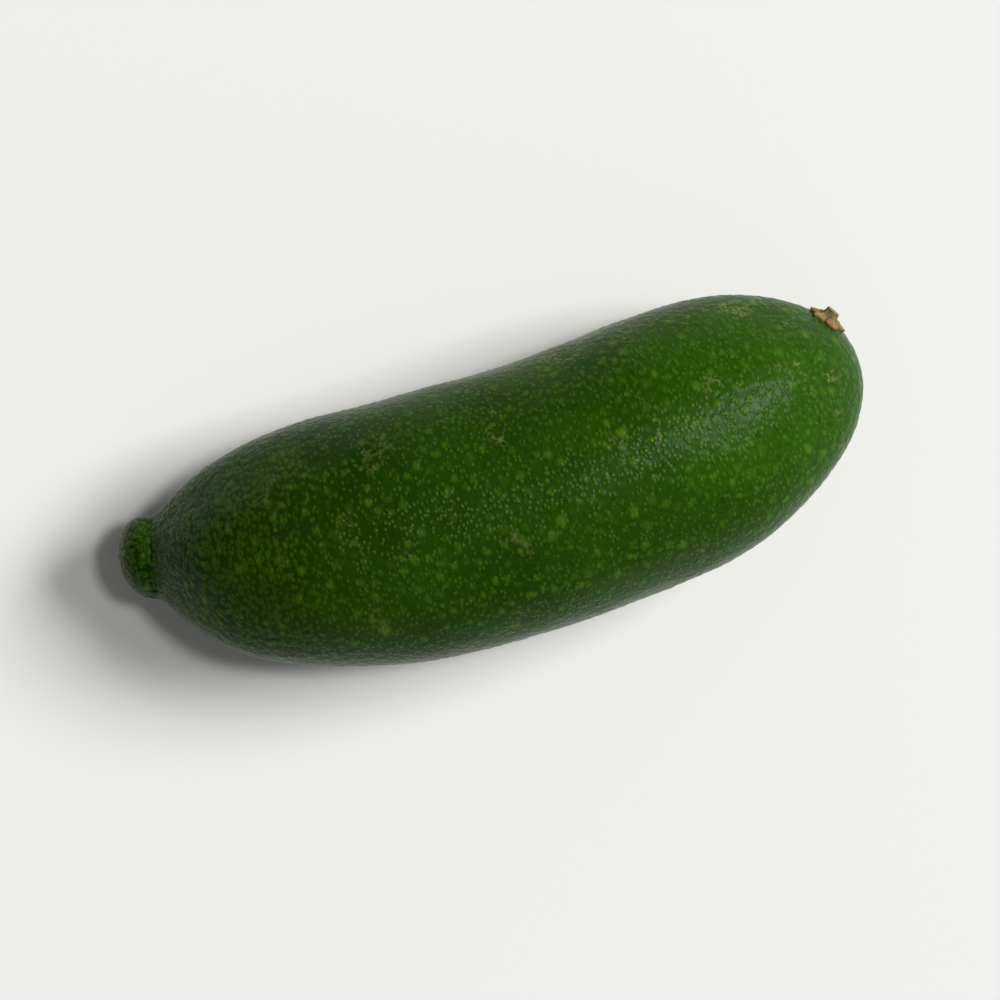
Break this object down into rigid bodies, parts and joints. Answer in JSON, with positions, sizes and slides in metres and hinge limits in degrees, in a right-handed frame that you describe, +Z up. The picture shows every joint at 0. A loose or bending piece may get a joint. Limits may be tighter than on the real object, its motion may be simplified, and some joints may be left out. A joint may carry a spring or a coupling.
{
  "type": "finger lime",
  "caption": "Whole finger lime lying on its side: a bowed, faintly ridged green citrus fruit with a blunt knob at one end and a small dry calyx button at the other.",
  "frame": {"origin": "middle of the fruit's bounding box in plan, on the surface that it lies on", "axes": "+X along the fruit's length, from the blossom-end knob towards the calyx button at the twig end; +Z up; the bulging side of the bow faces -Y"},
  "size_m": [0.06, 0.0218, 0.021],
  "materials": {
    "rind": "satin"
  },
  "bodies": {
    "root": {"fruit": "rind"}
  },
  "joints": []
}
